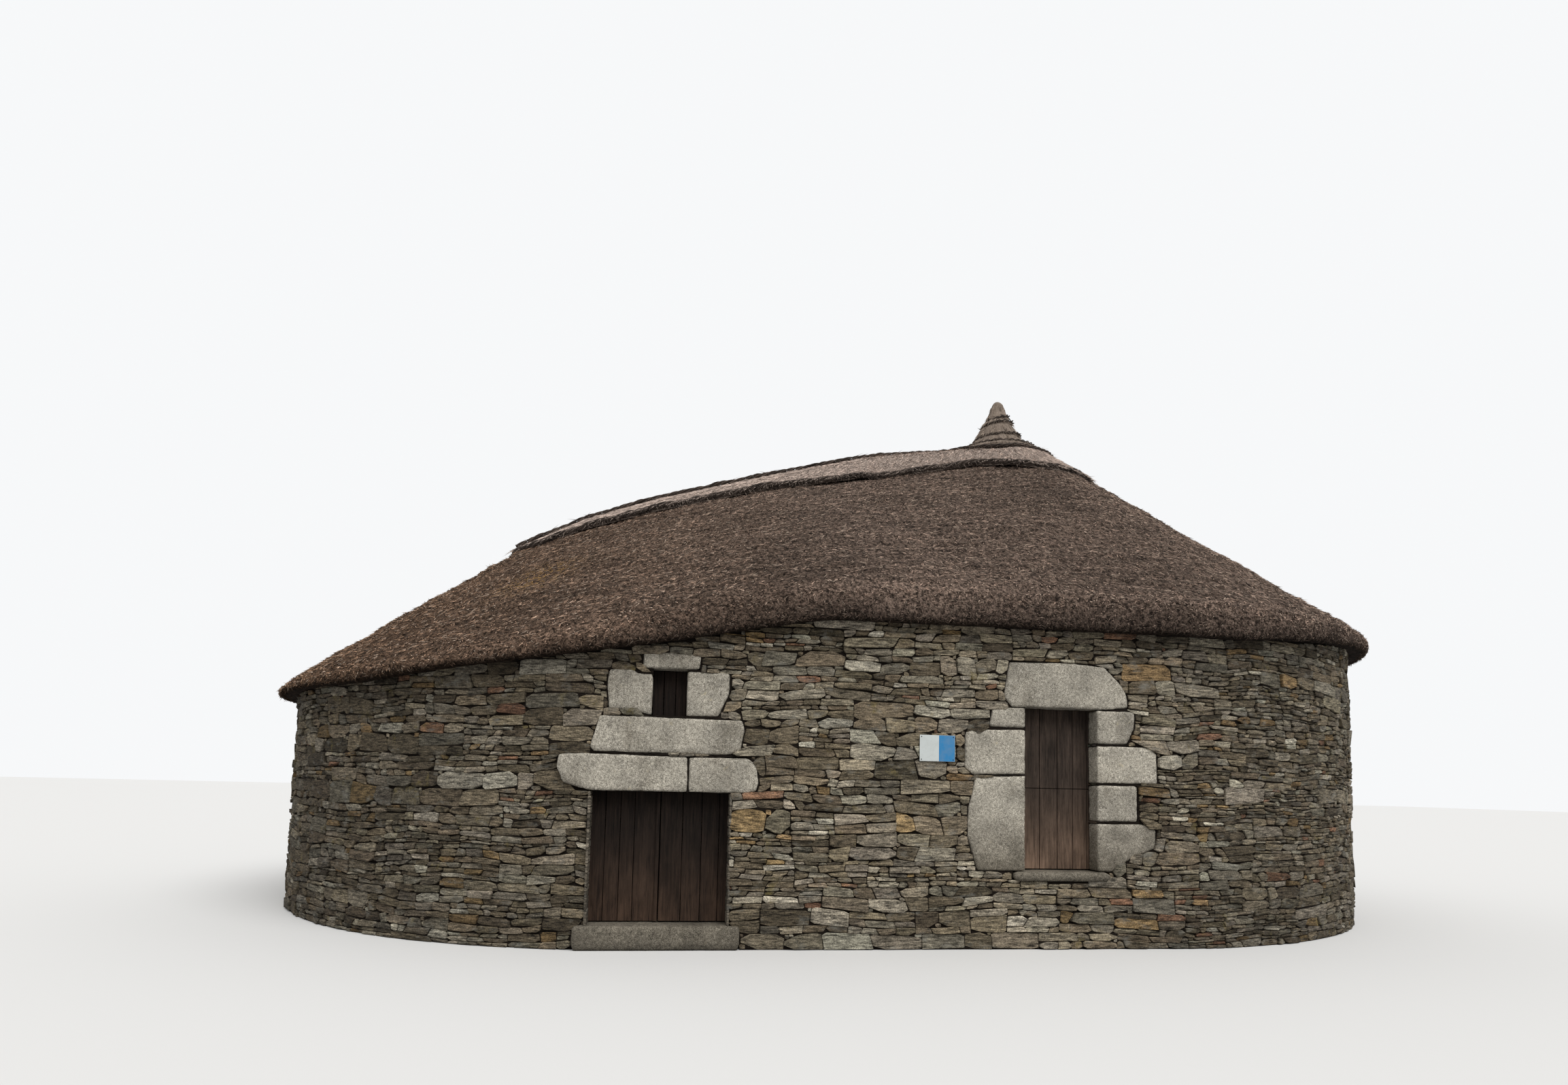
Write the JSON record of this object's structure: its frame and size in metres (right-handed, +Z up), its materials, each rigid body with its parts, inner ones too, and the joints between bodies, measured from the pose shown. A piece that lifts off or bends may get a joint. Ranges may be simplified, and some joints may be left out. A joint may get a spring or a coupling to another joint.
{
  "type": "thatched drystone hut",
  "caption": "Oval drystone mountain hut with granite door surrounds, a two-part house door, a double stable door and a sloping thatched roof with a straw finial.",
  "frame": {"origin": "under the middle of the plan at the lowest ground the walls reach", "axes": "+X to the right along the front wall, +Y into the building, +Z up"},
  "size_m": [17, 11, 8.865],
  "materials": {
    "thatch": "matt",
    "straw": "matt",
    "withy": "matt",
    "timber": "matt",
    "schist": "rough",
    "granite": "rough",
    "floor_stone": "rough",
    "door_wood": "matt",
    "iron": "matt",
    "sign": "satin"
  },
  "bodies": {
    "house": {"thatch": "thatch", "ridge_cap": "straw", "ridge_ropes": "withy", "finial": "straw", "finial_rings": "withy", "ridge_beam": "timber", "rafters_middle": "timber", "rafters_right": "timber", "rafters_left": "timber", "wall_front_left": "schist", "wall_front_middle": "schist", "wall_front_right": "schist", "wall_right_end": "schist", "wall_back_right": "schist", "wall_back_left": "schist", "wall_left_end": "schist", "wall_over_house_door": "schist", "wall_under_house_door": "schist", "wall_over_stable_door": "schist", "house_lintel": "granite", "house_jamb_left": "granite", "house_jamb_right": "granite", "house_sill": "granite", "stable_lintels": "granite", "stable_upper_lintel": "granite", "stable_sill": "granite", "window_lintel": "granite", "window_jambs": "granite", "window_shutter": "door_wood", "house_floor": "floor_stone", "stable_floor": "floor_stone", "house_pintles": "iron", "stable_pintles": "iron", "info_sign": "sign"},
    "lower_leaf": {"house_door_lower": "door_wood", "house_lower_straps": "iron"},
    "upper_leaf": {"house_door_upper": "door_wood", "house_upper_straps": "iron", "house_door_lock": "iron"},
    "stable_leaf_left": {"stable_door_left": "door_wood", "stable_left_straps": "iron"},
    "stable_leaf_right": {"stable_door_right": "door_wood", "stable_right_straps": "iron"}
  },
  "joints": [
    {"name": "lower_leaf_hinge", "type": "hinge", "parent": "house", "child": "lower_leaf", "pos_m": [2.27, -4.965, 1.35], "axis": [0, 0, -1], "range_deg": [0, 90]},
    {"name": "upper_leaf_hinge", "type": "hinge", "parent": "house", "child": "upper_leaf", "pos_m": [2.27, -4.965, 2.3], "axis": [0, 0, -1], "range_deg": [0, 90]},
    {"name": "stable_left_hinge", "type": "hinge", "parent": "house", "child": "stable_leaf_left", "pos_m": [-3.669, -4.965, 1], "axis": [0, 0, 1], "range_deg": [0, 90]},
    {"name": "stable_right_hinge", "type": "hinge", "parent": "house", "child": "stable_leaf_right", "pos_m": [-1.981, -4.965, 1], "axis": [0, 0, -1], "range_deg": [0, 90]}
  ]
}
